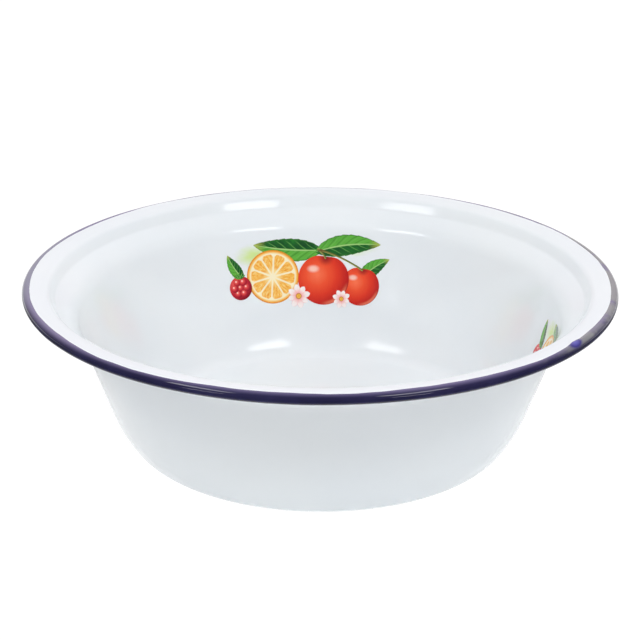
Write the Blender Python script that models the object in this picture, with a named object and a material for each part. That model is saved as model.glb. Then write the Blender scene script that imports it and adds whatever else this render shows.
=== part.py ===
"""Enamelled steel bowl with a stepped flange and a rolled bead: the sheet, its glass coats and its prints."""

import math

import bmesh
import bpy
from mathutils import Vector

# Overall sizes, in metres
RIM_RADIUS = 0.150
HEIGHT = 0.0866

# The sheet and the coats on each of its faces
STEEL_THICKNESS = 0.0006
GROUND_COAT = 0.0001
COVER_COAT = 0.0002
PRINT_FILM = 0.00005
BOND_GAP = 0.00005

# The section of the sheet, along its middle line, from the floor to the rolled edge
CORNER_RADIUS = 0.011
CORNER_ANGLE = math.radians(55.0)
SWELL_RADIUS = 0.0693
WALL_ANGLE = math.radians(70.9)
LEDGE_BEND_RADIUS = 0.016
LEDGE_ANGLE = math.radians(36.0)
LEDGE_FLAT = 0.0056
STEP_ROOT_RADIUS = 0.0045
STEP_ANGLE = math.radians(61.0)
STEP_FLAT = 0.0040
SHOULDER_RADIUS = 0.0034
SHOULDER_ANGLE = math.radians(13.0)
FLANGE_RADIUS = 0.077
FLANGE_ANGLE = math.radians(7.0)
BEAD_DIAMETER = 0.0055
CURL_GAP = 0.0004

# Facets: round the axis and along each arc of the section, and the distance that joins points on the axis
SEGMENTS = 44
CORNER_STEPS = 2
SWELL_STEPS = 2
LEDGE_STEPS = 2
CURL_STEPS = 8
MERGE_DISTANCE = 0.00001

# The prints: directions round the bowl, and the distance of their middle from the ledge, down the wall
PRINT_DIRECTIONS = {
    "transfer_back": math.radians(94.0),
    "transfer_left": math.radians(217.0),
    "transfer_right": math.radians(343.0),
}
PRINT_BELOW_LEDGE = 0.0213
PRINT_COLUMNS_PER_FACET = 4
PRINT_ROWS = 1
PRINT_END_MARGIN = 0.0003

# What the print's cluster is made of, each an ellipse: middle across and up, half length, half width, tilt
CLUSTER = {
    "haze": (-0.0300, 0.0095, 0.0140, 0.0080, 0.0),
    "orange_slice": (-0.0200, -0.0035, 0.0155, 0.0155, 0.0),
    "large_cherry": (0.0100, -0.0060, 0.0150, 0.0150, 0.0),
    "small_cherry": (0.0320, -0.0090, 0.0115, 0.0115, 0.0),
    "berry": (-0.0400, -0.0080, 0.0075, 0.0075, 0.0),
    "left_leaf": (-0.0105, 0.0125, 0.0195, 0.0075, math.radians(173.0)),
    "right_leaf": (0.0235, 0.0137, 0.0185, 0.0070, math.radians(9.0)),
    "low_leaf": (0.0390, 0.0015, 0.0110, 0.0050, math.radians(40.0)),
    "side_leaf": (-0.0420, 0.0040, 0.0085, 0.0040, math.radians(118.0)),
    "flower": (-0.0050, -0.0155, 0.0070, 0.0070, 0.0),
    "small_flower": (0.0210, -0.0170, 0.0055, 0.0055, 0.0),
}

# Offsets from the sheet's middle line
STEEL_FACE = STEEL_THICKNESS / 2
GROUND_FACES = (STEEL_FACE + BOND_GAP, STEEL_FACE + BOND_GAP + GROUND_COAT)
COVER_FACES = (GROUND_FACES[1] + BOND_GAP, GROUND_FACES[1] + BOND_GAP + COVER_COAT)
RIM_FACES = (GROUND_FACES[0], COVER_FACES[1])
FILM_FACES = (COVER_FACES[1] + BOND_GAP, COVER_FACES[1] + BOND_GAP + PRINT_FILM)
HALF_THICKNESS = COVER_FACES[1]
CURL_RADIUS = BEAD_DIAMETER / 2 - HALF_THICKNESS
CURL_CENTRE = Vector((RIM_RADIUS - BEAD_DIAMETER / 2, HEIGHT - BEAD_DIAMETER / 2))


def clear_scene():
    for thing in list(bpy.data.objects):
        bpy.data.objects.remove(thing)


def arc_move(radius, start, end):
    """The move along an arc as the heading turns from start to end. A negative radius bends downwards."""
    across = math.sin(end) - math.sin(start)
    up = math.cos(start) - math.cos(end)
    return radius * Vector((across, up))


def curl_station(heading):
    """A station of the rolled edge: its point, and its heading away from the axis."""
    return CURL_CENTRE + CURL_RADIUS * Vector((-math.sin(heading), math.cos(heading))), heading


def curl_stations():
    """Stations of the rolled edge, from the raw edge to the flange. The raw edge stops short of the flange."""
    room = (CURL_RADIUS - HALF_THICKNESS - CURL_GAP) / (CURL_RADIUS + HALF_THICKNESS)
    turn = 2 * math.pi - math.acos(room)
    return [curl_station(FLANGE_ANGLE - turn * (1 - i / CURL_STEPS)) for i in range(CURL_STEPS + 1)]


class Section:
    """The sheet's middle line, drawn inwards from the flange by straight runs and tangent arcs."""

    def __init__(self, first):
        self.stations = [first]

    def run(self, length):
        point, heading = self.stations[-1]
        self.stations.append((point - length * Vector((math.cos(heading), math.sin(heading))), heading))

    def bend(self, radius, heading, steps=1):
        point, start = self.stations[-1]
        for i in range(1, steps + 1):
            turned = start + (heading - start) * i / steps
            self.stations.append((point + arc_move(radius, start, turned), turned))

    def height(self):
        return self.stations[-1][0].y

    def radius(self):
        return self.stations[-1][0].x


def bowl_stations():
    """Stations from the flange's outer end to the axis. The wall and the floor take up what is left."""
    section = Section(curl_station(FLANGE_ANGLE))
    section.bend(-FLANGE_RADIUS, SHOULDER_ANGLE)
    section.bend(-SHOULDER_RADIUS, STEP_ANGLE)
    section.run(STEP_FLAT)
    section.bend(STEP_ROOT_RADIUS, LEDGE_ANGLE)
    section.run(LEDGE_FLAT)
    section.bend(-LEDGE_BEND_RADIUS, WALL_ANGLE, LEDGE_STEPS)
    wall_top = len(section.stations) - 1
    corner = arc_move(CORNER_RADIUS, 0.0, CORNER_ANGLE) + arc_move(SWELL_RADIUS, CORNER_ANGLE, WALL_ANGLE)
    section.run((section.height() - HALF_THICKNESS - corner.y) / math.sin(WALL_ANGLE))
    section.bend(SWELL_RADIUS, CORNER_ANGLE, SWELL_STEPS)
    section.bend(CORNER_RADIUS, 0.0, CORNER_STEPS)
    section.run(section.radius())
    return section.stations, wall_top


def face_points(stations, offset):
    """The stations moved off the middle line, towards the inside of the bowl where the offset is positive."""
    return [point + offset * Vector((-math.sin(heading), math.cos(heading))) for point, heading in stations]


def material(name, colour, roughness, metallic=0.0):
    made = bpy.data.materials.new(name)
    made.use_nodes = True
    shader = made.node_tree.nodes["Principled BSDF"]
    shader.inputs["Base Color"].default_value = (*colour, 1.0)
    shader.inputs["Roughness"].default_value = roughness
    shader.inputs["Metallic"].default_value = metallic
    return made


def add_object(name, mesh, finish):
    mesh.materials.append(finish)
    piece = bpy.data.objects.new(name, mesh)
    bpy.context.scene.collection.objects.link(piece)
    return piece


def turned(name, stations, faces, finish, closed):
    """A solid of revolution between two offsets of the stations, which run from the axis to the rim."""
    low, high = faces
    outline = face_points(stations, high) + face_points(stations, low)[::-1]
    edges = [(i, i + 1) for i in range(len(outline) - 1)]
    if closed:
        edges.append((len(outline) - 1, 0))
    mesh = bpy.data.meshes.new(name)
    mesh.from_pydata([(point.x, 0.0, point.y) for point in outline], edges, [])
    piece = add_object(name, mesh, finish)
    screw = piece.modifiers.new("Turn", "SCREW")
    screw.steps = SEGMENTS
    screw.render_steps = SEGMENTS
    screw.use_merge_vertices = True
    screw.merge_threshold = MERGE_DISTANCE
    screw.use_smooth_shade = True
    return piece


def cluster_edges(across):
    """The lowest and highest edge of the print at this distance across it, or None beside it."""
    edges = []
    for middle, up, half_length, half_width, tilt in CLUSTER.values():
        x = across - middle
        spread = (half_length * math.cos(tilt)) ** 2 + (half_width * math.sin(tilt)) ** 2
        if x * x >= spread:
            continue
        lean = (half_length**2 - half_width**2) * math.sin(tilt) * math.cos(tilt) / spread
        half = half_length * half_width * math.sqrt(spread - x * x) / spread
        edges += [up + lean * x - half, up + lean * x + half]
    return (min(edges), max(edges)) if edges else None


def along(points, distance):
    """The point this far along a chain of points."""
    for first, second in zip(points, points[1:]):
        length = (second - first).length
        if distance <= length:
            break
        distance -= length
    return first.lerp(second, distance / length)


def on_facets(direction, point):
    """A point of the section turned to a direction round the axis, on the flat facets there."""
    facet = 2 * math.pi / SEGMENTS
    from_middle = direction % facet - facet / 2
    radius = point.x * math.cos(facet / 2) / math.cos(from_middle)
    return radius * math.cos(direction), radius * math.sin(direction), point.y


def print_columns(middle, radius):
    """Directions round the bowl and edges of each column of a print whose middle is given."""
    step = 2 * math.pi / SEGMENTS / PRINT_COLUMNS_PER_FACET
    ends = []
    for x, _, half_length, half_width, tilt in CLUSTER.values():
        reach = math.hypot(half_length * math.cos(tilt), half_width * math.sin(tilt)) - PRINT_END_MARGIN
        ends += [x - reach, x + reach]
    left = middle - min(ends) / radius
    right = middle - max(ends) / radius
    inner = range(math.floor(right / step) + 1, math.ceil(left / step))
    directions = [right] + [i * step for i in inner] + [left]
    return [(direction, cluster_edges((middle - direction) * radius)) for direction in directions]


def transfer(name, middle, stations, wall_top, finish):
    """A fired print: a thin film on the inner wall, cut to the outline of its cluster."""
    walls = [face_points(stations[wall_top:], offset) for offset in FILM_FACES]
    radius = along(walls[0], PRINT_BELOW_LEDGE).x
    model = bmesh.new()
    columns = []
    for direction, (low, high) in print_columns(middle, radius):
        column = []
        for row in range(PRINT_ROWS + 1):
            down = PRINT_BELOW_LEDGE - low - (high - low) * row / PRINT_ROWS
            column.append([model.verts.new(on_facets(direction, along(wall, down))) for wall in walls])
        columns.append(column)
    for right, left in zip(columns, columns[1:]):
        for row in range(PRINT_ROWS):
            model.faces.new([column[1] for column in (right[row], left[row], left[row + 1], right[row + 1])])
            model.faces.new([column[0] for column in (right[row], right[row + 1], left[row + 1], left[row])])
        model.faces.new((right[0][0], left[0][0], left[0][1], right[0][1]))
        model.faces.new((right[-1][0], right[-1][1], left[-1][1], left[-1][0]))
    for row in range(PRINT_ROWS):
        for column in (columns[0], columns[-1]):
            model.faces.new((column[row][0], column[row][1], column[row + 1][1], column[row + 1][0]))
    bmesh.ops.recalc_face_normals(model, faces=model.faces[:])
    mesh = bpy.data.meshes.new(name)
    model.to_mesh(mesh)
    model.free()
    return add_object(name, mesh, finish)


def main():
    clear_scene()
    steel = material("bare_steel", (0.42, 0.42, 0.44), 0.45, 1.0)
    grip = material("ground_coat", (0.03, 0.035, 0.05), 0.35)
    white = material("white_enamel", (0.80, 0.83, 0.86), 0.08)
    navy = material("navy_enamel", (0.016, 0.013, 0.055), 0.12)
    ink = material("fired_print", (0.62, 0.08, 0.04), 0.12)

    curl = curl_stations()
    bowl, wall_top = bowl_stations()
    outward = bowl[::-1]
    butt = FLANGE_ANGLE - BOND_GAP / (CURL_RADIUS + STEEL_FACE)
    bead = [curl_station(butt)] + curl[-2::-1]

    pieces = [
        turned("steel_shell", outward + curl[-2::-1], (-STEEL_FACE, STEEL_FACE), steel, False),
        turned("ground_coat_inside", outward, GROUND_FACES, grip, False),
        turned("inside_enamel", outward, COVER_FACES, white, False),
        turned("ground_coat_outside", outward, [-face for face in GROUND_FACES[::-1]], grip, False),
        turned("outside_enamel", outward, [-face for face in COVER_FACES[::-1]], white, False),
        turned("rim_enamel", bead, RIM_FACES, navy, True),
    ]
    for name, middle in PRINT_DIRECTIONS.items():
        pieces.append(transfer(name, middle, bowl, wall_top, ink))

    bowl_root = bpy.data.objects.new("bowl", None)
    bpy.context.scene.collection.objects.link(bowl_root)
    for piece in pieces:
        piece.parent = bowl_root


main()
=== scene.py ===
"""Looks of the enamelled bowl: fine coats turned from its section, fired prints, studio light and camera."""

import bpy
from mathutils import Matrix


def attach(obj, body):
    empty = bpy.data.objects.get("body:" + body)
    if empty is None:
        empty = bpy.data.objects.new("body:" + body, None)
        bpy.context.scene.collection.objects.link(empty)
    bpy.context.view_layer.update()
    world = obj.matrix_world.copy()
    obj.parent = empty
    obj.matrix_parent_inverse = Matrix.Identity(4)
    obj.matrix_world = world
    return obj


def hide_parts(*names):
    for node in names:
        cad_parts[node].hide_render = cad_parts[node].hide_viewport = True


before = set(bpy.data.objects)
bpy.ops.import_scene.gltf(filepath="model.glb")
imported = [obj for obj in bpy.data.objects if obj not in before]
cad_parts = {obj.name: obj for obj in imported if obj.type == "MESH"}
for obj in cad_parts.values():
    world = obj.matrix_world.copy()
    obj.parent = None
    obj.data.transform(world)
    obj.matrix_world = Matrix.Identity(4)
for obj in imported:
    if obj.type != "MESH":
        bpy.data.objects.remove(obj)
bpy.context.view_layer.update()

import math

import bmesh
import bpy
from mathutils import Euler, Quaternion, Vector, noise

# The bowl's sizes in metres, the same as in the part's source
RIM_RADIUS = 0.150
HEIGHT = 0.0866
STEEL_THICKNESS = 0.0006
GROUND_COAT = 0.0001
COVER_COAT = 0.0002
BOND_GAP = 0.00005
CORNER_RADIUS = 0.011
CORNER_ANGLE = math.radians(55.0)
SWELL_RADIUS = 0.0693
WALL_ANGLE = math.radians(70.9)
LEDGE_BEND_RADIUS = 0.016
LEDGE_ANGLE = math.radians(36.0)
LEDGE_FLAT = 0.0056
STEP_ROOT_RADIUS = 0.0045
STEP_ANGLE = math.radians(61.0)
STEP_FLAT = 0.0040
SHOULDER_RADIUS = 0.0034
SHOULDER_ANGLE = math.radians(13.0)
FLANGE_RADIUS = 0.077
FLANGE_ANGLE = math.radians(7.0)
BEAD_DIAMETER = 0.0055
CURL_GAP = 0.0004
PRINT_BELOW_LEDGE = 0.0213

# Offsets from the middle line of the sheet, and the rolled edge
STEEL_FACE = STEEL_THICKNESS / 2
GROUND_FACES = (STEEL_FACE + BOND_GAP, STEEL_FACE + BOND_GAP + GROUND_COAT)
COVER_FACES = (GROUND_FACES[1] + BOND_GAP, GROUND_FACES[1] + BOND_GAP + COVER_COAT)
HALF_THICKNESS = COVER_FACES[1]
BEAD_RADIUS = BEAD_DIAMETER / 2
CURL_RADIUS = BEAD_RADIUS - HALF_THICKNESS
CURL_CENTRE = Vector((RIM_RADIUS - BEAD_RADIUS, HEIGHT - BEAD_RADIUS))

# Fineness of the meshes: facets round the axis, rings along each stretch of the section, and sharp edges
SEGMENTS = 288
CURL_STEPS = 30
LAP_STEPS = 10
UNDER_NAVY_STEPS = 12
CORNER_STEPS = 12
SWELL_STEPS = 6
BEND_STEPS = 6
LEDGE_RINGS = 2
WALL_RINGS = 4
FLOOR_RINGS = 8
SHARP_ANGLE = math.radians(50.0)
ON_AXIS = 0.000001

# The rim coat: where the white ends under it, where it starts on the bead, and its film, which feathers out
# at that start and thins towards the raw edge
WHITE_ENDS = math.radians(-50.0)
LAP_HEADING = math.radians(13.5)
LAP_FILM = 0.00006
FEATHER = math.radians(7.0)
THINNING = 2.0
EDGE_SHARE = 0.15
LEAST_SHARE = 0.1
SEAT_SHARE = 0.05

# How its start and its thickness wander round the bowl, each wave with its scale and its seed
LAP_WANDER = math.radians(23.0)
LAP_WAVE = (3.8, 8.51)
LAP_RIPPLE = 0.25
LAP_RIPPLE_WAVE = (17.0, 31.0)
COAT_WANDER = 0.00007
COAT_WAVE = (8.0, 20.0)

# Where its start lies higher or lower on the bead: direction, half span and shift, in degrees
LAP_SHIFTS = (
    (172.0, 19.0, 36.0),
    (95.0, 42.0, -24.0),
    (265.0, 55.0, -24.0),
)

# The thick drop on it, near the front at the right, with its place and half height on the bead in radians
DROP_DIRECTION = math.radians(322.5)
DROP_HALF_LENGTH = 0.0048
DROP_HALF_WIDTH = 0.0023
DROP_RISE = 0.0006
DROP_LAP = math.radians(18.0)
DROP_HEADING = -0.15
DROP_HALF_HEIGHT = 0.5
DROP_INSET = 0.7 * BEAD_RADIUS

# Its sag, where it has run down the outside of the bead at the front
SAG_DIRECTION = math.radians(272.0)
SAG_HALF_SPAN = math.radians(55.0)
SAG_HEADING = math.radians(-105.0)
SAG_HALF_HEIGHT = math.radians(50.0)
SAG_FILM = 0.0005

# Where sheen is painted on it: the way that the upper inner side of the bead faces, which is painted paler,
# and the direction in which the rim is palest
UPWARDS = 0.8
INWARDS = 0.6
PALE_DIRECTION = math.radians(174.0)

# The prints: directions round the bowl and the thickness of a film
PRINT_DIRECTIONS = {
    "print_back": ("transfer_back", math.radians(94.0)),
    "print_left": ("transfer_left", math.radians(217.0)),
    "print_right": ("transfer_right", math.radians(343.0)),
}
FILM = 0.000006
FIRST_LIFT = 0.00002
LIFT_STEP = 0.000009

# What a print's cluster is made of: middle across and up, half length, half width, tilt
CLUSTER = {
    "haze": (-0.0300, 0.0095, 0.0140, 0.0080, 0.0),
    "orange_slice": (-0.0200, -0.0035, 0.0155, 0.0155, 0.0),
    "large_cherry": (0.0100, -0.0060, 0.0150, 0.0150, 0.0),
    "small_cherry": (0.0320, -0.0090, 0.0115, 0.0115, 0.0),
    "berry": (-0.0400, -0.0080, 0.0075, 0.0075, 0.0),
    "left_leaf": (-0.0105, 0.0125, 0.0195, 0.0075, math.radians(173.0)),
    "right_leaf": (0.0235, 0.0137, 0.0185, 0.0070, math.radians(9.0)),
    "low_leaf": (0.0390, 0.0015, 0.0110, 0.0050, math.radians(40.0)),
    "side_leaf": (-0.0420, 0.0040, 0.0085, 0.0040, math.radians(118.0)),
    "flower": (-0.0050, -0.0155, 0.0070, 0.0070, 0.0),
    "small_flower": (0.0210, -0.0170, 0.0055, 0.0055, 0.0),
}
KNOT = (0.0070, 0.0113)
STALK_WIDTH = 0.0011
SLICE_SEGMENTS = 10
SLICE_TURN = math.radians(11.0)
FLOWER_PETALS = 8
PETAL_WIDTH = 0.27
PETAL_SHORTER = 0.08
EYE_SIZE = 0.25
FLOWER_TURNS = {"flower": 0.2, "small_flower": 0.5}
LEAF_TEETH = 9
LEAF_BOW = 0.25
LEAF_FILL = 0.9
LEAF_TOOTH = 0.07
EDGE_WIDTH = 0.00005
STALK_BENDS = {"small_cherry": 0.55, "large_cherry": 0.15}
STALK_SAG = 0.003
SEPALS = 5

# A berry's drupelets, in shares of its radius: their pitch, the part that they fill, and its dark ground
BERRY_PITCH = 0.50
BERRY_FILL = 0.80
BERRY_GROUND = 0.93
ROW_STEP = 0.86
DRUPELET_SIZE = 0.60

# The camera that took the picture, in metres, degrees and millimetres
CAMERA_PLACE = (0.0, -0.8125, 0.3856)
CAMERA_PITCH = 21.758
CAMERA_ROLL = 0.344
CAMERA_LENS = 95.625
SENSOR_WIDTH = 36.0

# The surround: its level and tint, and the tent that gloss mirrors instead, brightest behind and above
WORLD_LEVEL = 0.2
WORLD_TINT = (0.97, 1.0, 1.015, 1.0)
TENT_TINT = (1.06, 0.93, 1.02, 1.0)
TENT_TOWARDS = (0.0, 0.8, 0.6)
TENT_FOCUS = 2.5
TENT_HIGH = 0.82
TENT_LOW = 0.2

# The floor: the share of its glow in what the eye sees, the light that it gives close round the bowl, how far
# that pool of light reaches and how it falls off, and where the backdrop starts that gloss mirrors
FLOOR_HALF = 4.0
FLOOR_SHARE = 0.85
FLOOR_GLOW = 1.08
FLOOR_TINT = (0.93, 1.0, 1.03, 1.0)
FLOOR_LIGHT = 0.24
POOL_EDGE = (0.25, 0.10)
POOL_FALL = 3.0
BACKDROP_EDGE = (0.12, 0.36)

# The lamps: direction from the bowl, distance, width, height, radiance in units of white, mirrored in gloss
LAMP_AIM = Vector((0.0, 0.0, 0.05))
LAMPS = {
    "left_box": ((-0.550, -0.482, 0.682), 1.3, 0.46, 0.21, 4.8, True),
    "right_box": ((0.450, -0.555, 0.700), 1.3, 0.48, 0.21, 5.0, True),
    "high_fill": ((0.0, -0.5, 0.866), 1.5, 1.2, 0.8, 3.82, False),
    "top_panel": ((0.0, 0.15, 1.0), 1.5, 1.2, 0.8, 1.0, False),
    "left_panel": ((-0.9, -0.1, 0.45), 1.5, 1.0, 0.6, 1.1, False),
    "right_panel": ((0.9, -0.1, 0.45), 1.5, 1.0, 0.6, 1.85, False),
    "back_panel": ((0.0, 0.8, 0.6), 1.5, 1.2, 0.8, 0.55, False),
    "left_rear": ((-0.65, 0.74, 0.17), 1.5, 1.2, 0.5, 3.55, False),
    "right_rear": ((0.65, 0.74, 0.17), 1.5, 1.2, 0.5, 3.75, False),
    "left_strip": ((-0.62, -0.75, 0.23), 1.3, 0.30, 0.05, 9.0, True),
    "right_strip": ((0.50, -0.83, 0.23), 1.3, 0.30, 0.05, 9.0, True),
}


# The section of the sheet

def arc_move(radius, start, end):
    """The way along an arc between two headings."""
    across = math.sin(end) - math.sin(start)
    up = math.cos(start) - math.cos(end)
    return radius * Vector((across, up))


def curl_station(heading):
    """A station on the rolled edge: the point on the middle line and its heading there."""
    return CURL_CENTRE + CURL_RADIUS * Vector((-math.sin(heading), math.cos(heading))), heading


def raw_edge():
    """The heading at which the rolled edge stops, just short of the flange."""
    room = (CURL_RADIUS - HALF_THICKNESS - CURL_GAP) / (CURL_RADIUS + HALF_THICKNESS)
    return FLANGE_ANGLE - 2 * math.pi + math.acos(room)


def curl_stations(start, end, steps):
    """Stations round the rolled edge between two headings."""
    return [curl_station(start + (end - start) * i / steps) for i in range(steps + 1)]


class Section:
    """The sheet's middle line, drawn inwards from the flange by straight runs and tangent arcs."""

    def __init__(self, first):
        self.stations = [first]

    def run(self, length, steps=1):
        point, heading = self.stations[-1]
        for i in range(1, steps + 1):
            moved = point - length * i / steps * Vector((math.cos(heading), math.sin(heading)))
            self.stations.append((moved, heading))

    def bend(self, radius, heading, steps=BEND_STEPS):
        point, start = self.stations[-1]
        for i in range(1, steps + 1):
            turned = start + (heading - start) * i / steps
            self.stations.append((point + arc_move(radius, start, turned), turned))


def bowl_stations():
    """Stations from the flange's outer end to the axis, and the station where the wall starts."""
    section = Section(curl_station(FLANGE_ANGLE))
    section.bend(-FLANGE_RADIUS, SHOULDER_ANGLE)
    section.bend(-SHOULDER_RADIUS, STEP_ANGLE)
    section.run(STEP_FLAT)
    section.bend(STEP_ROOT_RADIUS, LEDGE_ANGLE)
    section.run(LEDGE_FLAT, LEDGE_RINGS)
    section.bend(-LEDGE_BEND_RADIUS, WALL_ANGLE)
    wall_top = len(section.stations) - 1
    corner = arc_move(CORNER_RADIUS, 0.0, CORNER_ANGLE) + arc_move(SWELL_RADIUS, CORNER_ANGLE, WALL_ANGLE)
    wall_height = section.stations[-1][0].y - HALF_THICKNESS - corner.y
    section.run(wall_height / math.sin(WALL_ANGLE), WALL_RINGS)
    section.bend(SWELL_RADIUS, CORNER_ANGLE, SWELL_STEPS)
    section.bend(CORNER_RADIUS, 0.0, CORNER_STEPS)
    section.run(section.stations[-1][0].x, FLOOR_RINGS)
    return section.stations, wall_top


def off_line(station, offset):
    """The point at an offset from the middle line, above or inside it where the offset is positive."""
    point, heading = station
    return point + offset * Vector((-math.sin(heading), math.cos(heading)))


BOWL, WALL_TOP = bowl_stations()
CURL = curl_stations(FLANGE_ANGLE, raw_edge(), CURL_STEPS)
UNDER_NAVY = curl_stations(FLANGE_ANGLE, WHITE_ENDS, UNDER_NAVY_STEPS)


# Turned pieces

def link(name, data):
    """A new object in the scene, with its mesh, lamp or lens."""
    item = bpy.data.objects.new(name, data)
    bpy.context.scene.collection.objects.link(item)
    return item


def turned(name, outline_at, closed):
    """A solid of revolution. outline_at gives its section at a direction round the bowl."""
    model = bmesh.new()
    columns = []
    axis = {}
    for i in range(SEGMENTS):
        direction = 2 * math.pi * i / SEGMENTS
        column = []
        for k, point in enumerate(outline_at(direction)):
            if point.x < ON_AXIS:
                if k not in axis:
                    axis[k] = model.verts.new((0.0, 0.0, point.y))
                column.append(axis[k])
            else:
                place = (point.x * math.cos(direction), point.x * math.sin(direction), point.y)
                column.append(model.verts.new(place))
        columns.append(column)
    rows = len(columns[0])
    spans = range(rows if closed else rows - 1)
    for i in range(SEGMENTS):
        here = columns[i]
        ahead = columns[(i + 1) % SEGMENTS]
        for k in spans:
            corners = [here[k], here[(k + 1) % rows], ahead[(k + 1) % rows], ahead[k]]
            face = model.faces.new(list(dict.fromkeys(corners)))
            face.smooth = True
    bmesh.ops.recalc_face_normals(model, faces=model.faces[:])
    for edge in model.edges:
        if len(edge.link_faces) == 2 and edge.calc_face_angle() > SHARP_ANGLE:
            edge.smooth = False
    mesh = bpy.data.meshes.new(name)
    model.to_mesh(mesh)
    model.free()
    return link(name, mesh)


def layer(name, stations, faces):
    """A coat or sheet between two offsets of the stations, which run from the axis to the rim."""
    low, high = faces
    outline = [off_line(s, high) for s in stations] + [off_line(s, low) for s in reversed(stations)]
    return turned(name, lambda direction: outline, False)


def wander(direction, scale, seed):
    """A smooth value from about -1 to 1 that wanders round the bowl and closes on itself."""
    place = Vector((scale * math.cos(direction), scale * math.sin(direction), seed))
    return noise.noise(place)


def turn_between(direction, other):
    """The angle from one direction round the bowl to another, from -pi to pi."""
    return (direction - other + math.pi) % (2 * math.pi) - math.pi


def bell(value, power=2):
    """1 at 0, falling smoothly to 0 on both sides. The power is even."""
    return math.exp(-(value ** power))


def lap_start(direction, drop):
    """The heading at which the navy coat starts on the bead."""
    start = LAP_HEADING + LAP_WANDER * wander(direction, *LAP_WAVE) + DROP_LAP * drop
    start += LAP_RIPPLE * LAP_WANDER * wander(direction, *LAP_RIPPLE_WAVE)
    for middle, half_span, shift in LAP_SHIFTS:
        away = turn_between(direction, math.radians(middle)) / math.radians(half_span)
        start += math.radians(shift) * bell(away, 4)
    return start


def rim_outline(direction):
    """The navy coat: from its feathered edge on the white, over the bead, to the raw edge, and back under."""
    drop = bell(turn_between(direction, DROP_DIRECTION) * RIM_RADIUS / DROP_HALF_LENGTH)
    sagged = bell(turn_between(direction, SAG_DIRECTION) / SAG_HALF_SPAN, 4)
    start = lap_start(direction, drop)
    stations = [curl_station(start), curl_station(start - FEATHER / 2)]
    stations += curl_stations(start - FEATHER, WHITE_ENDS, LAP_STEPS)
    lapped = len(stations)
    stations += curl_stations(WHITE_ENDS, raw_edge(), CURL_STEPS)[1:]
    scale, seed = COAT_WAVE
    outline = []
    for station in stations:
        heading = station[1]
        rough = COAT_WANDER * wander(direction, scale, seed + heading)
        blob = DROP_RISE * drop * bell((heading - DROP_HEADING) / DROP_HALF_HEIGHT)
        sag = SAG_FILM * sagged * bell((heading - SAG_HEADING) / SAG_HALF_HEIGHT)
        grown = min((start - heading) / FEATHER, 1.0)
        grown *= max(0.0, min(1.0, (heading - raw_edge()) / THINNING))
        film = EDGE_SHARE * LAP_FILM + ((1 - EDGE_SHARE) * LAP_FILM + rough + blob + sag) * grown
        outline.append(off_line(station, HALF_THICKNESS + max(film, LEAST_SHARE * LAP_FILM)))
    under = [off_line(station, HALF_THICKNESS + SEAT_SHARE * LAP_FILM) for station in stations[:lapped]]
    roots = [off_line(station, GROUND_FACES[0]) for station in stations[lapped - 1:]]
    return outline + roots[::-1] + under[::-1]


# Node materials

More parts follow.
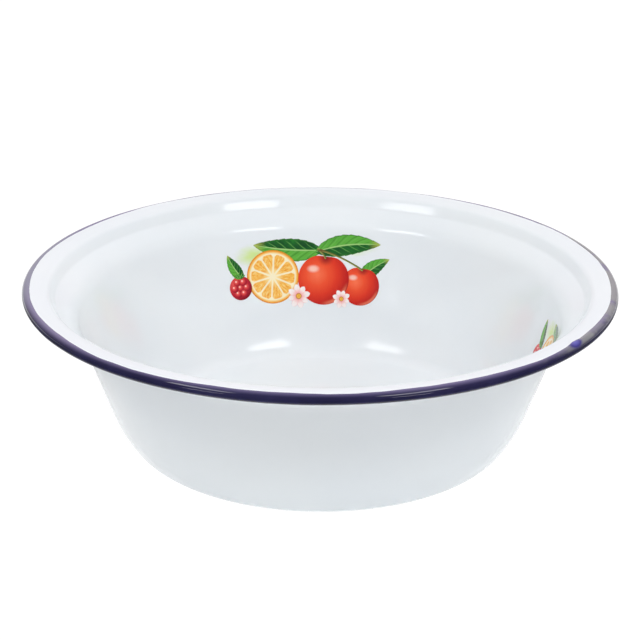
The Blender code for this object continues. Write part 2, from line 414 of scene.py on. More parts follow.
class Nodes:
    """Short names for the nodes of a material or of the world."""

    def __init__(self, owner):
        owner.use_nodes = True
        self.owner = owner
        self.tree = owner.node_tree
        self.shader = self.tree.nodes.get("Principled BSDF")

    def add(self, kind, **settings):
        node = self.tree.nodes.new(kind)
        for setting, value in settings.items():
            setattr(node, setting, value)
        return node

    def plug(self, value, socket):
        """Links a socket to another, or sets it to a constant."""
        if isinstance(value, bpy.types.NodeSocket):
            self.tree.links.new(value, socket)
        else:
            socket.default_value = value

    def maths(self, operation, *values):
        node = self.add("ShaderNodeMath", operation=operation)
        for value, socket in zip(values, node.inputs):
            self.plug(value, socket)
        return node.outputs[0]

    def vector(self, operation, *values):
        node = self.add("ShaderNodeVectorMath", operation=operation)
        sockets = [socket for socket in node.inputs if socket.enabled]
        for value, socket in zip(values, sockets):
            self.plug(value, socket)
        return next(socket for socket in node.outputs if socket.enabled)

    def between(self, value, low, high):
        """0 below low, 1 above high, smooth between. Low may be the larger."""
        node = self.add("ShaderNodeMapRange", interpolation_type="SMOOTHSTEP")
        for amount, name in ((value, "Value"), (low, "From Min"), (high, "From Max")):
            self.plug(amount, node.inputs[name])
        return node.outputs[0]

    def ramp(self, value, *stops):
        """The colour at a value, from stops with a place and a colour."""
        node = self.add("ShaderNodeValToRGB")
        band = node.color_ramp
        while len(band.elements) < len(stops):
            band.elements.new(0.5)
        for element, (place, colour) in zip(band.elements, stops):
            element.position = place
            element.color = (*colour, 1.0)
        self.plug(value, node.inputs[0])
        return node.outputs[0]

    def mix(self, share, first, second):
        """The first colour where the share is 0, the second where it is 1."""
        node = self.add("ShaderNodeMix", data_type="RGBA")
        self.plug(share, node.inputs["Factor"])
        for colour, name in ((first, "A_Color"), (second, "B_Color")):
            socket = next(s for s in node.inputs if s.identifier == name)
            self.plug(colour if isinstance(colour, bpy.types.NodeSocket) else (*colour, 1.0), socket)
        return next(s for s in node.outputs if s.identifier == "Result_Color")

    def noise(self, vector, scale, detail=2.0, distortion=0.0):
        node = self.add("ShaderNodeTexNoise")
        self.plug(vector, node.inputs["Vector"])
        node.inputs["Scale"].default_value = scale
        node.inputs["Detail"].default_value = detail
        node.inputs["Distortion"].default_value = distortion
        return node.outputs[0]

    def place(self):
        """The place on the bowl, in metres."""
        return self.add("ShaderNodeTexCoord").outputs["Object"]

    def split(self, place):
        """The x, y and z of a place."""
        node = self.add("ShaderNodeSeparateXYZ")
        self.plug(place, node.inputs[0])
        return tuple(node.outputs)

    def drawn(self):
        """The place on a motif, from its own map: x and y."""
        return self.split(self.add("ShaderNodeUVMap", uv_map="motif").outputs[0])[:2]

    def joined(self, x, y):
        node = self.add("ShaderNodeCombineXYZ")
        self.plug(x, node.inputs[0])
        self.plug(y, node.inputs[1])
        return node.outputs[0]

    def bump(self, height, distance, strength):
        node = self.add("ShaderNodeBump")
        self.plug(height, node.inputs["Height"])
        node.inputs["Distance"].default_value = distance
        node.inputs["Strength"].default_value = strength
        self.plug(node.outputs[0], self.shader.inputs["Normal"])

    def finish(self, colour, roughness, metallic=0.0, ior=1.5):
        self.plug(colour, self.shader.inputs["Base Color"])
        self.plug(roughness, self.shader.inputs["Roughness"])
        self.shader.inputs["Metallic"].default_value = metallic
        self.shader.inputs["IOR"].default_value = ior
        return self.owner

    def blend(self, share, first, second, output):
        """Sends a mix of two shaders to the output."""
        node = self.add("ShaderNodeMixShader")
        for value, socket in zip((share, first, second), node.inputs):
            self.plug(value, socket)
        self.plug(node.outputs[0], self.tree.nodes[output].inputs["Surface"])


def material_nodes(name):
    return Nodes(bpy.data.materials.new(name))


# The colours of the coats
WHITE = (0.830, 0.863, 0.885)
WHITE_COOL = (0.805, 0.843, 0.875)
SPECK = (0.10, 0.10, 0.11)
NAVY_DEEP = (0.010, 0.009, 0.046)
NAVY_LIGHTER = (0.018, 0.016, 0.066)
# Painted sheen on the upper inner side of the bead
NAVY_PAINTED_SHEEN = (0.145, 0.122, 0.255)
NAVY_WORN = (0.222, 0.225, 0.230)
NAVY_PALE = (0.195, 0.202, 0.282)
DROP_BLUE = (0.026, 0.020, 0.20)
# Painted highlight at the middle of the drop
DROP_PAINTED_HIGHLIGHT = (0.10, 0.092, 0.42)

# Their gloss: its refraction and roughness, and the fine waves of its surface
WHITE_GLOSS = (1.52, 0.09)
NAVY_GLOSS = (1.58, 0.04)
POLISH_CHANGE = 0.05
PEEL_SCALE = 260.0
PEEL_HEIGHT = 0.00002
PEEL_STRENGTH = 0.25
SPECK_SCALE = 26.0


def white_colour(nodes):
    """The white enamel's colour, which wanders a little with the thickness of the coat."""
    return nodes.mix(nodes.between(nodes.noise(nodes.place(), 14.0, 3.0), 0.35, 0.7), WHITE, WHITE_COOL)


def glossy_finish(nodes, colour, gloss=WHITE_GLOSS):
    """The shared gloss of the fired coats: a faint orange peel and a slightly uneven polish."""
    ior, roughness = gloss
    place = nodes.place()
    peel = nodes.noise(place, PEEL_SCALE)
    polish = nodes.between(nodes.noise(place, 35.0, 3.0), 0.3, 0.8)
    nodes.bump(peel, PEEL_HEIGHT, PEEL_STRENGTH)
    return nodes.finish(colour, nodes.maths("MULTIPLY_ADD", polish, POLISH_CHANGE, roughness), ior=ior)


def white_enamel(name):
    """White enamel with a few dark specks."""
    nodes = material_nodes(name)
    cells = nodes.add("ShaderNodeTexVoronoi", feature="F1")
    nodes.plug(nodes.place(), cells.inputs["Vector"])
    cells.inputs["Scale"].default_value = SPECK_SCALE
    red = nodes.vector("DOT_PRODUCT", cells.outputs["Color"], (1.0, 0.0, 0.0))
    chosen = nodes.between(red, 0.86, 0.88)
    dot = nodes.between(cells.outputs["Distance"], 0.012, 0.006)
    colour = nodes.mix(nodes.maths("MULTIPLY", chosen, dot), white_colour(nodes), SPECK)
    return glossy_finish(nodes, colour)


def bead_facing(nodes, place):
    """How far a place on the bead lies towards its upper inner side: from about 1 there to -1 on the other
    side.
    """
    x, y, z = nodes.split(place)
    reach = nodes.maths("SQRT", nodes.maths("MULTIPLY_ADD", x, x, nodes.maths("MULTIPLY", y, y)))
    up = UPWARDS / BEAD_RADIUS
    inwards = INWARDS / BEAD_RADIUS
    height = nodes.maths("MULTIPLY_ADD", z, up, -up * (HEIGHT - BEAD_RADIUS))
    inner = nodes.maths("MULTIPLY_ADD", reach, -inwards, inwards * (RIM_RADIUS - BEAD_RADIUS))
    return nodes.maths("ADD", height, inner)


def from_drop(nodes, place):
    """The distance from the middle of the drop, with its length squeezed to its width."""
    outwards = Vector((math.cos(DROP_DIRECTION), math.sin(DROP_DIRECTION), 0.0))
    along = (-outwards.y, outwards.x, 0.0)
    middle = (RIM_RADIUS - DROP_INSET) * outwards + Vector((0.0, 0.0, HEIGHT))
    away = nodes.vector("SUBTRACT", place, tuple(middle))
    length = nodes.vector("DOT_PRODUCT", away, along)
    spare = nodes.maths("MULTIPLY", length, 1.0 - DROP_HALF_WIDTH / DROP_HALF_LENGTH)
    return nodes.vector("LENGTH", nodes.vector("SUBTRACT", away, nodes.vector("SCALE", along, spare)))


def navy_enamel(name):
    """Navy enamel: deep where it is thick, paler where it is worn, with painted sheen that makes the upper
    inner side of the bead paler, and a painted highlight in the middle of the drop.
    """
    nodes = material_nodes(name)
    place = nodes.place()
    lighter = nodes.between(nodes.noise(place, 40.0, 3.0), 0.35, 0.7)
    colour = nodes.mix(lighter, NAVY_DEEP, NAVY_LIGHTER)
    facing = bead_facing(nodes, place)
    # Painted sheen: the bead is painted paler towards its upper inner side
    colour = nodes.mix(nodes.between(facing, -0.3, 0.85), colour, NAVY_PAINTED_SHEEN)
    x = nodes.split(place)[0]
    worn = nodes.between(nodes.noise(place, 60.0, 4.0, 0.6), 0.32, 0.58)
    right_end = nodes.between(x, 0.965 * RIM_RADIUS, RIM_RADIUS)
    upper = nodes.maths("MAXIMUM", nodes.between(facing, -0.5, 0.2), right_end)
    right = nodes.between(x, 0.62 * RIM_RADIUS, 0.86 * RIM_RADIUS)
    worn_share = nodes.maths("MULTIPLY", worn, nodes.maths("MULTIPLY", upper, right))
    colour = nodes.mix(worn_share, colour, NAVY_WORN)
    towards = (math.cos(PALE_DIRECTION), math.sin(PALE_DIRECTION), 0.0)
    reach = nodes.vector("DOT_PRODUCT", place, towards)
    colour = nodes.mix(nodes.between(reach, 0.88 * RIM_RADIUS, 0.985 * RIM_RADIUS), colour, NAVY_PALE)
    far = from_drop(nodes, place)
    blue = nodes.between(far, 1.35 * DROP_HALF_WIDTH, 0.7 * DROP_HALF_WIDTH)
    # Painted highlight: paler blue at the middle of the drop, over its own deep blue
    painted_highlight = nodes.between(far, 0.9 * DROP_HALF_WIDTH, 0.2 * DROP_HALF_WIDTH)
    colour = nodes.mix(blue, colour, nodes.mix(painted_highlight, DROP_BLUE, DROP_PAINTED_HIGHLIGHT))
    return glossy_finish(nodes, colour, NAVY_GLOSS)


def ground_coat(name):
    """The dark coat that grips the steel."""
    nodes = material_nodes(name)
    shade = nodes.noise(nodes.place(), 60.0, 4.0)
    colour = nodes.ramp(shade, (0.3, (0.018, 0.022, 0.034)), (0.7, (0.045, 0.050, 0.068)))
    return nodes.finish(colour, nodes.maths("MULTIPLY_ADD", shade, 0.2, 0.3))


def bare_steel(name):
    """The bare sheet under the coats."""
    nodes = material_nodes(name)
    shade = nodes.noise(nodes.place(), 90.0, 5.0)
    colour = nodes.ramp(shade, (0.3, (0.36, 0.36, 0.38)), (0.7, (0.48, 0.48, 0.50)))
    return nodes.finish(colour, nodes.maths("MULTIPLY_ADD", shade, 0.2, 0.35), metallic=1.0)


# The pieces

def fix(piece, node):
    """Fixes a piece in the frame in place of its CAD node."""
    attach(piece, "root")
    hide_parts(node)


def settle(piece, material, node):
    """Dresses a piece in one material and fixes it."""
    piece.data.materials.append(material)
    fix(piece, node)


def below(faces):
    """The same offsets on the outer side of the sheet."""
    return [-face for face in reversed(faces)]


outward = BOWL[::-1]
to_navy = outward + UNDER_NAVY[1:]
white = white_enamel("white_enamel")
grip = ground_coat("grip_coat")
steel = bare_steel("bare_steel")
layers = (
    ("steel_sheet", outward + CURL[1:], (-STEEL_FACE, STEEL_FACE), steel, "steel_shell", "bare_steel"),
    ("grip_coat_inside", to_navy, GROUND_FACES, grip, "ground_coat_inside", "ground_coat"),
    ("grip_coat_outside", outward, below(GROUND_FACES), grip, "ground_coat_outside", "ground_coat"),
    ("white_coat_inside", to_navy, COVER_FACES, white, "inside_enamel", "white_enamel"),
    ("white_coat_outside", outward, below(COVER_FACES), white, "outside_enamel", "white_enamel"),
)
for name, stations, faces, material, node, slot in layers:
    settle(layer(name, stations, faces), material, node)
rim = turned("navy_rim_coat", rim_outline, True)
settle(rim, navy_enamel("navy_enamel"), "rim_enamel")


# The fired prints: flat films in the print's own plane, each with its points, its map and its faces

def round_film(rings, steps, edge=None):
    """A round film of radius 1, mapped by its own coordinates. edge gives the radius at an angle."""
    points = [(0.0, 0.0)]
    faces = []
    for i in range(1, rings + 1):
        for k in range(steps):
            angle = 2 * math.pi * k / steps
            reach = i / rings * (edge(angle) if edge else 1.0)
            points.append((reach * math.cos(angle), reach * math.sin(angle)))
    for k in range(steps):
        after = (k + 1) % steps
        faces.append((0, 1 + k, 1 + after))
        for i in range(rings - 1):
            low = 1 + i * steps
            high = low + steps
            faces.append((low + k, high + k, high + after, low + after))
    return points, points, faces


def long_film(rib, half_width, steps, columns):
    """A long film along a rib, mapped by 0 to 1 along it and -1 to 1 across it."""
    points = []
    maps = []
    faces = []
    for i in range(steps + 1):
        t = i / steps
        here = Vector(rib(t))
        way = (Vector(rib(t + 0.001)) - here).normalized()
        left = Vector((-way.y, way.x))
        for k in range(columns + 1):
            across = 2 * k / columns - 1
            points.append(tuple(here + across * half_width(t) * left))
            maps.append((t, across))
    for i in range(steps):
        for k in range(columns):
            corner = i * (columns + 1) + k
            faces.append((corner, corner + columns + 1, corner + columns + 2, corner + 1))
    return points, maps, faces


def put(film, across, up, size=1.0, turn=0.0):
    """The film scaled, turned and moved to a place on the print."""
    points, maps, faces = film
    cosine = size * math.cos(turn)
    sine = size * math.sin(turn)
    placed = [(across + cosine * x - sine * y, up + sine * x + cosine * y) for x, y in points]
    return placed, maps, faces


def cherry_edge(angle):
    """Round, with a shallow dip at the stalk."""
    from_top = turn_between(angle, math.radians(84.0))
    return 1.0 - 0.09 * bell(from_top / 0.36) - 0.02 * math.sin(angle) ** 2


def leaf_film(half_length, half_width, bow):
    """A leaf from its stalk at the left to its tip at the right, with a bowed rib and a toothed edge."""
    def rib(t):
        return half_length * (2 * t - 1), bow * half_width * (math.sin(math.pi * t) - 0.5)

    def width(t):
        body = math.sin(math.pi * t ** 0.8) ** 0.8 if 0.0 < t < 1.0 else 0.0
        tooth = 1.0 - LEAF_TOOTH * ((LEAF_TEETH * t) % 1.0)
        return max(half_width * body * tooth, EDGE_WIDTH)

    return long_film(rib, width, 6 * LEAF_TEETH, 8)


def petal_film():
    """A petal of length 1 from the middle of its flower outwards, rounded at its end."""
    def width(t):
        body = math.sin(math.pi * t ** 1.5) ** 0.6 if 0.0 < t < 1.0 else 0.0
        return max(PETAL_WIDTH * body, 0.02)

    return long_film(lambda t: (t, 0.0), width, 14, 4)


def stalk_film(start, bend, end, thick):
    """A stalk along a curve between two places, narrowest in its middle."""
    def rib(t):
        return tuple((1 - t) ** 2 * a + 2 * t * (1 - t) * b + t * t * c for a, b, c in zip(start, bend, end))

    def width(t):
        return thick * (0.62 - 0.5 * t * (1 - t)) * (0.8 + 0.2 * t)

    return long_film(rib, width, 20, 2)


def berry_films(across, up, radius):
    """The drupelets of a berry: a hexagonal pattern inside its outline."""
    pitch = BERRY_PITCH * radius
    drupelet = round_film(2, 14)
    films = []
    for row in range(-2, 3):
        for column in range(-2, 3):
            x = (column + 0.5 * (row % 2)) * pitch
            y = ROW_STEP * row * pitch
            if math.hypot(1.08 * x, y) < BERRY_FILL * radius:
                placed = put(drupelet, across + x, up + y, DRUPELET_SIZE * pitch)
                films.append(("drupelet", placed, (row + column) % 2))
    return films


def sepal_films(across, up, radius):
    """The sepals of a berry, fanned out at its top."""
    leaf = leaf_film(0.27 * radius, 0.09 * radius, 0.0)
    films = []
    for i in range(SEPALS):
        angle = math.radians(30.0 + 30.0 * i)
        place = (across + 0.30 * radius * math.cos(angle), up + (0.74 + 0.2 * math.sin(angle)) * radius)
        films.append(("leaf", put(leaf, *place, 1.0, angle), i % 2))
    return films


def flower_films(across, up, radius, turn):
    """A flower of narrow petals round a yellow eye."""
    films = []
    for i in range(FLOWER_PETALS):
        angle = turn + 2 * math.pi * i / FLOWER_PETALS
        reach = radius * (1.0 - PETAL_SHORTER * (i % 3 == 1))
        films.append(("petal", put(petal_film(), across, up, reach, angle), i % 2))
    films.append(("flower_eye", put(round_film(2, 18), across, up, EYE_SIZE * radius), 2))
    return films


def haze_film(half_length, half_width):
    """A soft oval."""
    points, maps, faces = round_film(5, 40)
    return [(half_length * x, half_width * y) for x, y in points], maps, faces


def cluster_groups():
    """The films of a print in groups, from the lowest to the highest: ink, shape and level in the group."""
    groups = []
    for name in ("haze", "right_leaf"):
        across, up, half_length, half_width = CLUSTER[name][:4]
        groups.append([("haze", put(haze_film(half_length, half_width), across, up), 0)])
    for name in ("side_leaf", "low_leaf", "left_leaf", "right_leaf"):
        across, up, half_length, half_width, tilt = CLUSTER[name]
        leaf = leaf_film(half_length, LEAF_FILL * half_width, LEAF_BOW)
        groups.append([("leaf", put(leaf, across, up, 1.0, tilt), 0)])
    across, up, radius = CLUSTER["orange_slice"][:3]
    groups.append([("orange_slice", put(round_film(7, 72), across, up, radius, SLICE_TURN), 0)])
    for name in ("small_cherry", "large_cherry"):
        across, up, radius = CLUSTER[name][:3]
        groups.append([("cherry", put(round_film(6, 60, cherry_edge), across, up, radius), 0)])
    across, up, radius = CLUSTER["berry"][:3]
    groups.append([("drupelet", put(round_film(3, 28), across, up, BERRY_GROUND * radius), 0)])
    groups.append(berry_films(across, up, radius))
    groups.append(sepal_films(across, up, radius))
    for name, bend in STALK_BENDS.items():
        across, up, radius = CLUSTER[name][:3]
        start = (across + 0.08 * radius, up + 0.80 * radius)
        middle = (start[0] + bend * (KNOT[0] - start[0]), KNOT[1] - STALK_SAG)
        groups.append([("stalk", stalk_film(start, middle, KNOT, STALK_WIDTH), 0)])
    groups.append([("stalk", put(round_film(2, 16), *KNOT, 0.8 * STALK_WIDTH), 0)])
    for name, turn in FLOWER_TURNS.items():
        across, up, radius = CLUSTER[name][:3]
        groups.append(flower_films(across, up, radius, turn))
    return groups


def cluster_films():
    """Every film of a print: its ink, its shape and its level above the wall."""
    films = []
    level = 0
    for group in cluster_groups():
        films += [(ink, film, level + rise) for ink, film, rise in group]
        level += 1 + max(rise for _, _, rise in group)
    return films


def on_wall(middle, place, lift):
    """A place on the inner wall, from its distances across and up a print."""
    top = BOWL[WALL_TOP]
    slope = Vector((math.cos(top[1]), math.sin(top[1])))
    face = off_line(top, HALF_THICKNESS + lift)
    radius = face.x - PRINT_BELOW_LEDGE * slope.x
    point = face - (PRINT_BELOW_LEDGE - place[1]) * slope
    direction = middle - place[0] / radius
    return point.x * math.cos(direction), point.x * math.sin(direction), point.y


def fired_print(name, middle, films, inks):
    """One print: every film a thin closed shell on the inner wall, in its own ink."""
    model = bmesh.new()
    motif = model.loops.layers.uv.new("motif")
    for ink, (points, maps, faces), level in films:
        lift = FIRST_LIFT + level * LIFT_STEP
        low = [model.verts.new(on_wall(middle, point, lift)) for point in points]
        high = [model.verts.new(on_wall(middle, point, lift + FILM)) for point in points]
        ways = {(a, b) for face in faces for a, b in zip(face, face[1:] + face[:1])}
        rim = [(a, b) for a, b in sorted(ways) if (b, a) not in ways]
        skins = [(face, [high[i] for i in face]) for face in faces]
        skins += [(face[::-1], [low[i] for i in face[::-1]]) for face in faces]
        skins += [((a, a, b, b), [high[a], low[a], low[b], high[b]]) for a, b in rim]
        for corners, verts in skins:
            face = model.faces.new(verts)
            face.smooth = True
            face.material_index = list(inks).index(ink)
            for loop, corner in zip(face.loops, corners):
                loop[motif].uv = maps[corner]
        for a, b in rim:
            model.edges.get((high[a], high[b])).smooth = False
            model.edges.get((low[a], low[b])).smooth = False
    mesh = bpy.data.meshes.new(name)
    model.to_mesh(mesh)
    model.free()
    return link(name, mesh)


# The inks of the prints

def haze_colour(nodes):
    """A ragged pale green cloud that fades into the white."""
    x, y = nodes.drawn()
    spot = nodes.joined(x, y)
    ragged = nodes.maths("MULTIPLY_ADD", nodes.noise(spot, 2.5, 3.0), 0.5, nodes.vector("LENGTH", spot))
    return nodes.mix(nodes.between(ragged, 1.2, 0.35), white_colour(nodes), (0.62, 0.78, 0.30))


def leaf_colour(nodes):
    """Green, lighter on one side of the rib, with veins, a darker edge and a yellow tip."""
    t, s = nodes.drawn()
    side = nodes.maths("ABSOLUTE", s)
    mottle = nodes.noise(nodes.place(), 160.0, 4.0)
    lit = nodes.maths("ADD", nodes.between(s, -0.15, 0.15), mottle)
    greens = (
        (0.2, (0.008, 0.075, 0.018)),
        (0.45, (0.018, 0.19, 0.025)),
        (0.9, (0.11, 0.42, 0.05)),
    )
    colour = nodes.ramp(nodes.maths("MULTIPLY", lit, 0.6), *greens)
    slant = nodes.maths("FRACT", nodes.maths("MULTIPLY_ADD", side, -1.5, nodes.maths("MULTIPLY", t, 7.0)))
    vein = nodes.between(nodes.maths("ABSOLUTE", nodes.maths("SUBTRACT", slant, 0.5)), 0.12, 0.03)
    vein = nodes.maths("MULTIPLY", vein, nodes.between(side, 0.95, 0.5))
    colour = nodes.mix(nodes.maths("MULTIPLY", vein, 0.55), colour, (0.16, 0.46, 0.09))
    fold = nodes.between(nodes.maths("ABSOLUTE", nodes.maths("SUBTRACT", slant, 0.15)), 0.18, 0.02)
    colour = nodes.mix(nodes.maths("MULTIPLY", fold, 0.35), colour, (0.006, 0.05, 0.014))
    colour = nodes.mix(nodes.between(t, 0.80, 1.02), colour, (0.42, 0.46, 0.08))
    colour = nodes.mix(nodes.between(side, 0.84, 1.0), colour, (0.05, 0.20, 0.03))
    return nodes.mix(nodes.between(side, 0.10, 0.03), colour, (0.36, 0.62, 0.20))


def slice_colour(nodes):
    """Orange flesh in sectors round a pale core, inside a pale pith and a darker rind."""
    x, y = nodes.drawn()
    spot = nodes.joined(x, y)
    far = nodes.vector("LENGTH", spot)
    angle = nodes.maths("ARCTAN2", y, x)
    turns = nodes.maths("MULTIPLY_ADD", angle, SLICE_SEGMENTS / (2 * math.pi), SLICE_SEGMENTS)
    sector = nodes.maths("FRACT", turns)
    aside = nodes.maths("SUBTRACT", 0.5, nodes.maths("ABSOLUTE", nodes.maths("SUBTRACT", sector, 0.5)))
    gap = nodes.maths("MULTIPLY", nodes.maths("MULTIPLY", aside, far), 2 * math.pi / SLICE_SEGMENTS)
    rays = nodes.joined(nodes.maths("MULTIPLY", angle, 9.0), nodes.maths("MULTIPLY", far, 5.0))
    juice = nodes.noise(rays, 1.3, 4.0, 0.4)
    oranges = (
        (0.30, (0.84, 0.30, 0.035)),
        (0.52, (0.93, 0.50, 0.09)),
        (0.74, (0.97, 0.74, 0.30)),
    )
    flesh = nodes.ramp(juice, *oranges)
    flesh = nodes.mix(nodes.between(far, 0.45, 0.10), flesh, (0.97, 0.76, 0.34))
    end = nodes.maths("MULTIPLY_ADD", nodes.between(gap, 0.12, 0.02), -0.09, 0.83)
    inside = nodes.between(nodes.maths("SUBTRACT", far, end), 0.025, -0.015)
    inside = nodes.maths("MULTIPLY", inside, nodes.between(gap, 0.018, 0.045))
    inside = nodes.maths("MULTIPLY", inside, nodes.between(far, 0.06, 0.12))
    peels = (
        (0.86, (0.95, 0.84, 0.58)),
        (0.905, (0.94, 0.62, 0.20)),
        (0.95, (0.88, 0.36, 0.04)),
        (1.0, (0.66, 0.19, 0.015)),
    )
    return nodes.mix(inside, nodes.ramp(far, *peels), flesh)


def cherry_colour(nodes):
    """Red, lit from the upper left, with a dark dip at the stalk, a glow below and a gleam."""
    x, y = nodes.drawn()
    spot = nodes.joined(x, y)
    far = nodes.vector("LENGTH", spot)
    stretched = nodes.joined(nodes.maths("MULTIPLY", x, 7.0), nodes.maths("MULTIPLY", y, 2.0))
    streak = nodes.noise(stretched, 1.0, 4.0)
    shade = nodes.maths("MULTIPLY_ADD", streak, 0.14, nodes.vector("DISTANCE", spot, (-0.26, 0.20, 0.0)))
    reds = (
        (0.08, (0.93, 0.17, 0.075)),
        (0.35, (0.84, 0.085, 0.030)),
        (0.60, (0.72, 0.040, 0.017)),
        (0.85, (0.50, 0.014, 0.012)),
        (1.0, (0.30, 0.006, 0.010)),
    )
    colour = nodes.ramp(nodes.maths("MULTIPLY", shade, 0.68), *reds)
    dip = nodes.between(nodes.vector("DISTANCE", spot, (0.08, 0.84, 0.0)), 0.36, 0.04)
    colour = nodes.mix(nodes.maths("MULTIPLY", dip, 0.85), colour, (0.26, 0.010, 0.012))
    low = nodes.between(nodes.vector("DOT_PRODUCT", spot, (0.62, -0.78, 0.0)), 0.60, 0.92)
    edge = nodes.maths("MULTIPLY", nodes.between(far, 0.78, 0.90), nodes.between(far, 1.0, 0.93))
    glow = nodes.maths("MULTIPLY", nodes.maths("MULTIPLY", low, edge), 0.6)
    colour = nodes.mix(glow, colour, (0.90, 0.26, 0.14))
    away = nodes.vector("DISTANCE", nodes.vector("MULTIPLY", spot, (1.0, 1.6, 1.0)), (-0.40, 0.66, 0.0))
    gleam = nodes.maths("MULTIPLY", nodes.between(away, 0.30, 0.08), 0.7)
    return nodes.mix(gleam, colour, (0.97, 0.72, 0.62))


def drupelet_colour(nodes):
    """Red, darker towards the edge, with a gleam."""
    x, y = nodes.drawn()
    spot = nodes.joined(x, y)
    light = nodes.vector("DISTANCE", spot, (-0.25, 0.30, 0.0))
    reds = (
        (0.05, (0.92, 0.36, 0.30)),
        (0.25, (0.78, 0.085, 0.075)),
        (0.6, (0.52, 0.018, 0.035)),
        (0.95, (0.20, 0.004, 0.014)),
    )
    colour = nodes.ramp(nodes.maths("MULTIPLY", light, 0.7), *reds)
    gleam = nodes.between(nodes.vector("DISTANCE", spot, (-0.30, 0.36, 0.0)), 0.24, 0.10)
    return nodes.mix(nodes.maths("MULTIPLY", gleam, 0.8), colour, (0.97, 0.82, 0.78))


def petal_colour(nodes):
    """Pink at the middle of the flower, paling outwards, with fine lines and a pink edge."""
    t, s = nodes.drawn()
    side = nodes.maths("ABSOLUTE", s)
    pinks = (
        (0.10, (0.78, 0.16, 0.17)),
        (0.34, (0.93, 0.52, 0.50)),
        (0.60, (0.95, 0.84, 0.82)),
        (0.95, (0.95, 0.91, 0.90)),
    )
    colour = nodes.ramp(t, *pinks)
    stretched = nodes.joined(nodes.maths("MULTIPLY", t, 1.5), nodes.maths("MULTIPLY", s, 4.0))
    lines = nodes.between(nodes.noise(stretched, 1.6, 3.0), 0.52, 0.75)
    colour = nodes.mix(nodes.maths("MULTIPLY", lines, 0.6), colour, (0.92, 0.50, 0.50))
    edge = nodes.between(side, 0.70, 1.0)
    return nodes.mix(nodes.maths("MULTIPLY", edge, 0.7), colour, (0.88, 0.46, 0.47))


def eye_colour(nodes):
    """Yellow grains with a brown edge."""
    x, y = nodes.drawn()
    spot = nodes.joined(x, y)
    grains = nodes.add("ShaderNodeTexVoronoi", feature="F1")
    nodes.plug(spot, grains.inputs["Vector"])
    grains.inputs["Scale"].default_value = 5.0
    colour = nodes.ramp(grains.outputs["Distance"], (0.1, (0.95, 0.74, 0.16)), (0.6, (0.80, 0.38, 0.04)))
    return nodes.mix(nodes.between(nodes.vector("LENGTH", spot), 0.6, 1.0), colour, (0.46, 0.15, 0.03))


def stalk_colour(nodes):
    """Olive, lighter on one side, brown at its end."""
    t, s = nodes.drawn()
    olives = (
        (0.1, (0.09, 0.085, 0.02)),
        (0.6, (0.22, 0.24, 0.05)),
        (0.95, (0.46, 0.46, 0.14)),
    )
    colour = nodes.ramp(nodes.maths("MULTIPLY_ADD", s, 0.4, 0.5), *olives)
    return nodes.mix(nodes.between(t, 0.75, 1.0), colour, (0.15, 0.065, 0.025))


def fired_ink(name, colour):
    """A glossy ink, from a function that draws its colour."""
    nodes = material_nodes(name)
    return glossy_finish(nodes, colour(nodes))


INKS = {
    "haze": haze_colour,
    "leaf": leaf_colour,
    "orange_slice": slice_colour,
    "cherry": cherry_colour,
    "drupelet": drupelet_colour,
    "petal": petal_colour,
    "flower_eye": eye_colour,
    "stalk": stalk_colour,
}
inks = {name: fired_ink(name + "_ink", colour) for name, colour in INKS.items()}
films = cluster_films()
for name, (node, middle) in PRINT_DIRECTIONS.items():
    picture = fired_print(name, middle, films, inks)
    for ink in inks.values():
        picture.data.materials.append(ink)
    fix(picture, node)


# Stage, light and camera

def floor_material():
    """A pale floor, which the eye sees as white. Gloss mirrors it only close round the bowl and behind it."""
    nodes = material_nodes("floor")
    place = nodes.place()
    shade = nodes.noise(place, 3.0)
    colour = nodes.ramp(shade, (0.3, (0.90, 0.90, 0.90)), (0.7, (0.92, 0.92, 0.92)))
    nodes.finish(colour, 0.9)
    near = nodes.between(nodes.vector("LENGTH", place), *POOL_EDGE)
    lit = nodes.maths("MULTIPLY", nodes.maths("POWER", near, POOL_FALL), FLOOR_LIGHT)
    nodes.shader.inputs["Emission Color"].default_value = FLOOR_TINT
    nodes.plug(lit, nodes.shader.inputs["Emission Strength"])
    behind = nodes.between(nodes.vector("DOT_PRODUCT", place, (0.0, 1.0, 0.0)), *BACKDROP_EDGE)
    pale = nodes.maths("MAXIMUM", near, behind)
    rays = nodes.add("ShaderNodeLightPath")
    to_eye = rays.outputs["Is Camera Ray"]
    mirrored = nodes.maths("MAXIMUM", rays.outputs["Is Glossy Ray"], rays.outputs["Is Transmission Ray"])
    glow = nodes.add("ShaderNodeEmission")
    level = nodes.maths("MULTIPLY", nodes.maths("MAXIMUM", to_eye, pale), FLOOR_GLOW)
    nodes.plug(level, glow.inputs["Strength"])
    share = nodes.maths("MULTIPLY", nodes.maths("MAXIMUM", to_eye, mirrored), FLOOR_SHARE)
    nodes.blend(share, nodes.shader.outputs[0], glow.outputs[0], "Material Output")
    return nodes.owner


def add_floor():
    mesh = bpy.data.meshes.new("floor")
    corners = [(x * FLOOR_HALF, y * FLOOR_HALF, 0.0) for x, y in ((-1, -1), (1, -1), (1, 1), (-1, 1))]
    mesh.from_pydata(corners, [], [(0, 1, 2, 3)])
    floor = link("floor", mesh)
    mesh.materials.append(floor_material())


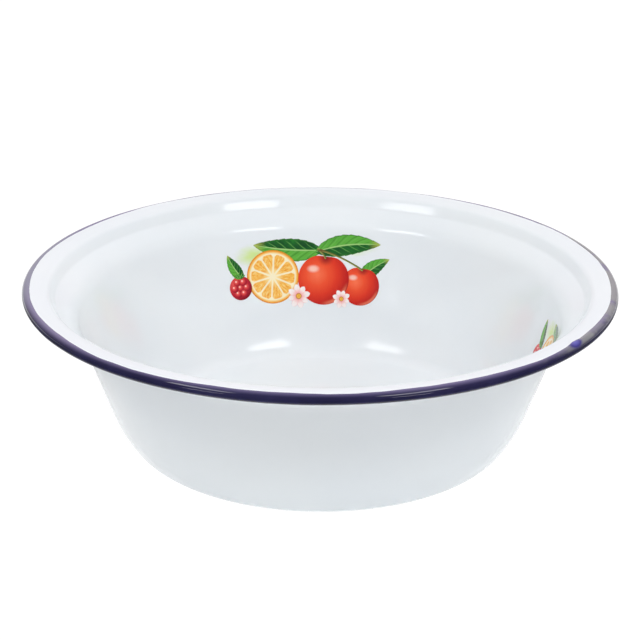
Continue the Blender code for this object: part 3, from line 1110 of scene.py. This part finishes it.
def add_world():
    """An even surround, which the eye sees as white. Gloss mirrors the tent instead."""
    world = bpy.data.worlds.new("studio")
    bpy.context.scene.world = world
    nodes = Nodes(world)
    rays = nodes.add("ShaderNodeLightPath")
    sky = nodes.tree.nodes["Background"]
    sky.inputs["Color"].default_value = WORLD_TINT
    nodes.plug(nodes.maths("MAXIMUM", rays.outputs["Is Camera Ray"], WORLD_LEVEL), sky.inputs["Strength"])
    way = nodes.add("ShaderNodeTexCoord").outputs["Generated"]
    facing = nodes.maths("MAXIMUM", nodes.vector("DOT_PRODUCT", way, TENT_TOWARDS), 0.0)
    spread = nodes.maths("POWER", facing, TENT_FOCUS)
    tent = nodes.add("ShaderNodeBackground")
    tent.inputs["Color"].default_value = TENT_TINT
    nodes.plug(nodes.maths("MULTIPLY_ADD", spread, TENT_HIGH, TENT_LOW), tent.inputs["Strength"])
    nodes.blend(rays.outputs["Is Glossy Ray"], sky.outputs[0], tent.outputs[0], "World Output")


def add_lamp(name, direction, distance, width, height, radiance, mirrored):
    """A rectangular lamp in a direction from the bowl, which it faces."""
    lamp = bpy.data.lights.new(name, "AREA")
    lamp.shape = "RECTANGLE"
    lamp.size = width
    lamp.size_y = height
    lamp.energy = radiance * math.pi * width * height
    holder = link(name, lamp)
    towards = Vector(direction).normalized()
    holder.location = LAMP_AIM + distance * towards
    holder.rotation_euler = towards.to_track_quat("Z", "Y").to_euler()
    holder.visible_glossy = mirrored


def add_camera():
    lens = bpy.data.cameras.new("camera")
    lens.lens = CAMERA_LENS
    lens.sensor_width = SENSOR_WIDTH
    camera = link("camera", lens)
    camera.location = CAMERA_PLACE
    tilt = Euler((math.radians(90.0 - CAMERA_PITCH), 0.0, 0.0)).to_quaternion()
    roll = Quaternion((0, 0, 1), math.radians(CAMERA_ROLL))
    camera.rotation_mode = "QUATERNION"
    camera.rotation_quaternion = tilt @ roll
    bpy.context.scene.camera = camera


add_floor()
add_world()
for name, settings in LAMPS.items():
    add_lamp(name, *settings)
add_camera()
bpy.context.scene.view_settings.view_transform = "Standard"
